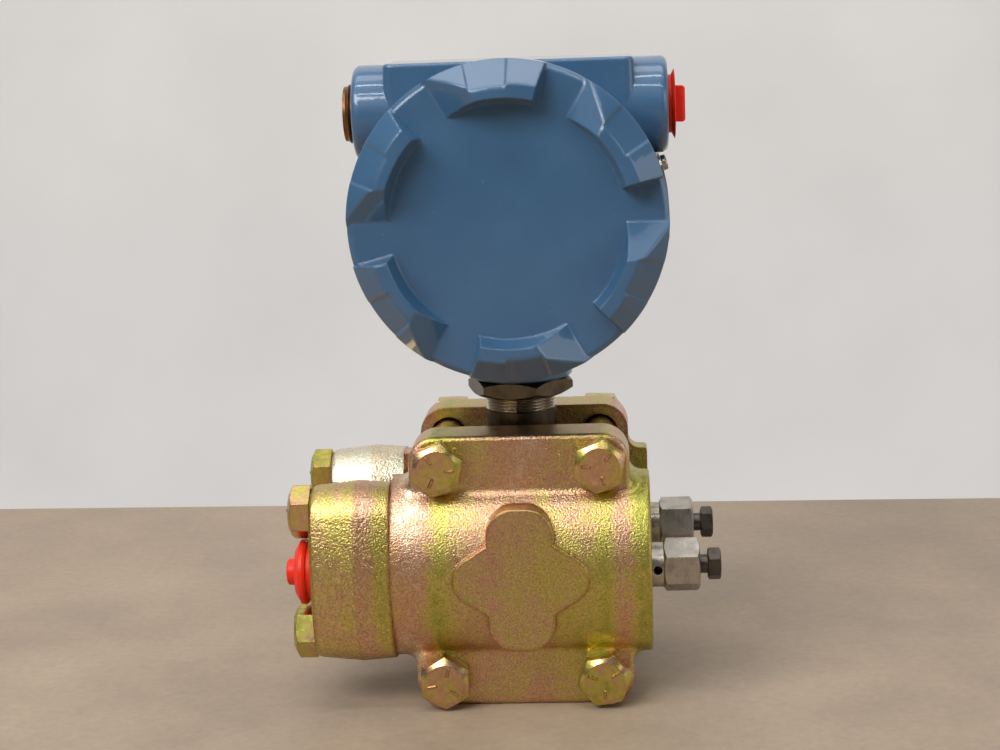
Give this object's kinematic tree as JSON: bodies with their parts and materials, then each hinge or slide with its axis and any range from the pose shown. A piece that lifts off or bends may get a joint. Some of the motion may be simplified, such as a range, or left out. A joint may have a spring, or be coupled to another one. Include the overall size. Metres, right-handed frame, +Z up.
{
  "type": "differential pressure transmitter",
  "caption": "Differential pressure transmitter with a blue two-compartment housing, twin process flanges, oval flange adapters, vent valves and red shipping plugs.",
  "frame": {"origin": "centre of the bottom of the bounding box, on the plane the flange plates stand on", "axes": "+Z up along the neck, -Y towards the front cover, +X towards the vent valves"},
  "size_m": [0.145, 0.115, 0.2153],
  "materials": {
    "blue_paint": "gloss polyurethane over die-cast aluminium",
    "chromate_casting": "yellow chromate over zinc plate on sand-cast steel",
    "chromate_pale": "yellow chromate over zinc plate on investment-cast steel",
    "chromate_bolt": "yellow chromate over zinc plate on cold-headed steel",
    "stainless_steel": "machined 316 stainless steel",
    "dark_steel": "oiled plated steel",
    "neck_steel": "machined stainless steel",
    "red_plastic": "moulded red polyethylene",
    "brown_steel": "lacquered malleable pipe plug",
    "seal_rubber": "nitrile O-ring",
    "board_laminate": "glass-epoxy laminate with solder resist",
    "moulded_block": "moulded phenolic",
    "nameplate_steel": "thin brushed stainless plate",
    "brass_screws": "turned brass",
    "glass_header": "glass-sealed header with gold-plated pins"
  },
  "bodies": {
    "base": {"sensor_module": "neck_steel", "isolating_diaphragms": "stainless_steel", "module_header": "glass_header", "flange_seals": "seal_rubber", "front_flange": "chromate_casting", "rear_flange": "chromate_casting", "flange_bolts": "chromate_bolt", "flange_nuts": "chromate_bolt", "front_adapter": "chromate_pale", "rear_adapter": "chromate_pale", "adapter_seals": "seal_rubber", "adapter_bolts": "chromate_bolt", "front_vent_body": "stainless_steel", "rear_vent_body": "stainless_steel"},
    "nut": {"lock_nut": "dark_steel"},
    "housing": {"electronics_housing": "blue_paint", "amplifier_board": "board_laminate", "calibration_board": "board_laminate", "board_spacers": "brass_screws", "board_screws": "brass_screws", "terminal_block": "moulded_block", "terminal_screws": "brass_screws", "ground_screw": "brass_screws", "feedthrough_pins": "brass_screws", "adjuster_seals": "seal_rubber", "nameplate": "nameplate_steel", "nameplate_screws": "stainless_steel", "conduit_plug": "brown_steel"},
    "front_seal": {"front_cover_seal": "seal_rubber"},
    "front_lid": {"front_cover": "blue_paint"},
    "rear_seal": {"rear_cover_seal": "seal_rubber"},
    "rear_lid": {"rear_cover": "blue_paint"},
    "zero_screw": {"zero_adjuster": "stainless_steel"},
    "span_screw": {"span_adjuster": "stainless_steel"},
    "conduit_stopper": {"conduit_cap": "red_plastic"},
    "front_stopper": {"front_port_plug": "red_plastic"},
    "rear_stopper": {"rear_port_plug": "red_plastic"},
    "front_vent": {"front_vent_screw": "stainless_steel"},
    "rear_vent": {"rear_vent_screw": "stainless_steel"}
  },
  "joints": [
    {"name": "housing_turn", "type": "hinge", "parent": "base", "child": "housing", "pos_m": [0.00655, 0, 0.115], "axis": [0, 0, 1], "range_deg": [-90, 90]},
    {"name": "lock_nut_turn", "type": "hinge", "parent": "base", "child": "nut", "pos_m": [0.00655, 0, 0.1038], "axis": [0, 0, 1], "range_deg": [-360, 0]},
    {"name": "front_cover_travel", "type": "slide", "parent": "housing", "child": "front_seal", "axis": [0, -1, 0], "range_m": [0, 0.01275]},
    {"name": "front_cover_turn", "type": "hinge", "parent": "front_seal", "child": "front_lid", "pos_m": [0.00655, -0.04, 0.1645], "axis": [0, -1, 0], "range_deg": [0, 2880]},
    {"name": "rear_cover_travel", "type": "slide", "parent": "housing", "child": "rear_seal", "axis": [0, 1, 0], "range_m": [0, 0.01275]},
    {"name": "rear_cover_turn", "type": "hinge", "parent": "rear_seal", "child": "rear_lid", "pos_m": [0.00655, 0.04, 0.1645], "axis": [0, 1, 0], "range_deg": [0, 2880]},
    {"name": "zero_turn", "type": "hinge", "parent": "housing", "child": "zero_screw", "pos_m": [0.04955, -0.004, 0.1645], "axis": [1, 0, 0], "range_deg": [-1800, 1800]},
    {"name": "span_turn", "type": "hinge", "parent": "housing", "child": "span_screw", "pos_m": [0.04955, -0.013, 0.1645], "axis": [1, 0, 0], "range_deg": [-1800, 1800]},
    {"name": "conduit_cap_pull", "type": "slide", "parent": "housing", "child": "conduit_stopper", "axis": [1, 0, 0], "range_m": [0, 0.016]},
    {"name": "front_plug_pull", "type": "slide", "parent": "base", "child": "front_stopper", "axis": [-1, 0, 0], "range_m": [0, 0.016]},
    {"name": "rear_plug_pull", "type": "slide", "parent": "base", "child": "rear_stopper", "axis": [-1, 0, 0], "range_m": [0, 0.016]},
    {"name": "front_vent_turn", "type": "hinge", "parent": "base", "child": "front_vent", "pos_m": [0.06655, -0.027, 0.0462], "axis": [1, 0, 0], "range_deg": [0, 540]},
    {"name": "rear_vent_turn", "type": "hinge", "parent": "base", "child": "rear_vent", "pos_m": [0.06655, 0.027, 0.0462], "axis": [1, 0, 0], "range_deg": [0, 540]}
  ],
  "couplings": [
    {"joint": "front_cover_travel", "follows": "front_cover_turn", "m_per_rad": 0.00025266},
    {"joint": "rear_cover_travel", "follows": "rear_cover_turn", "m_per_rad": 0.00025266}
  ]
}
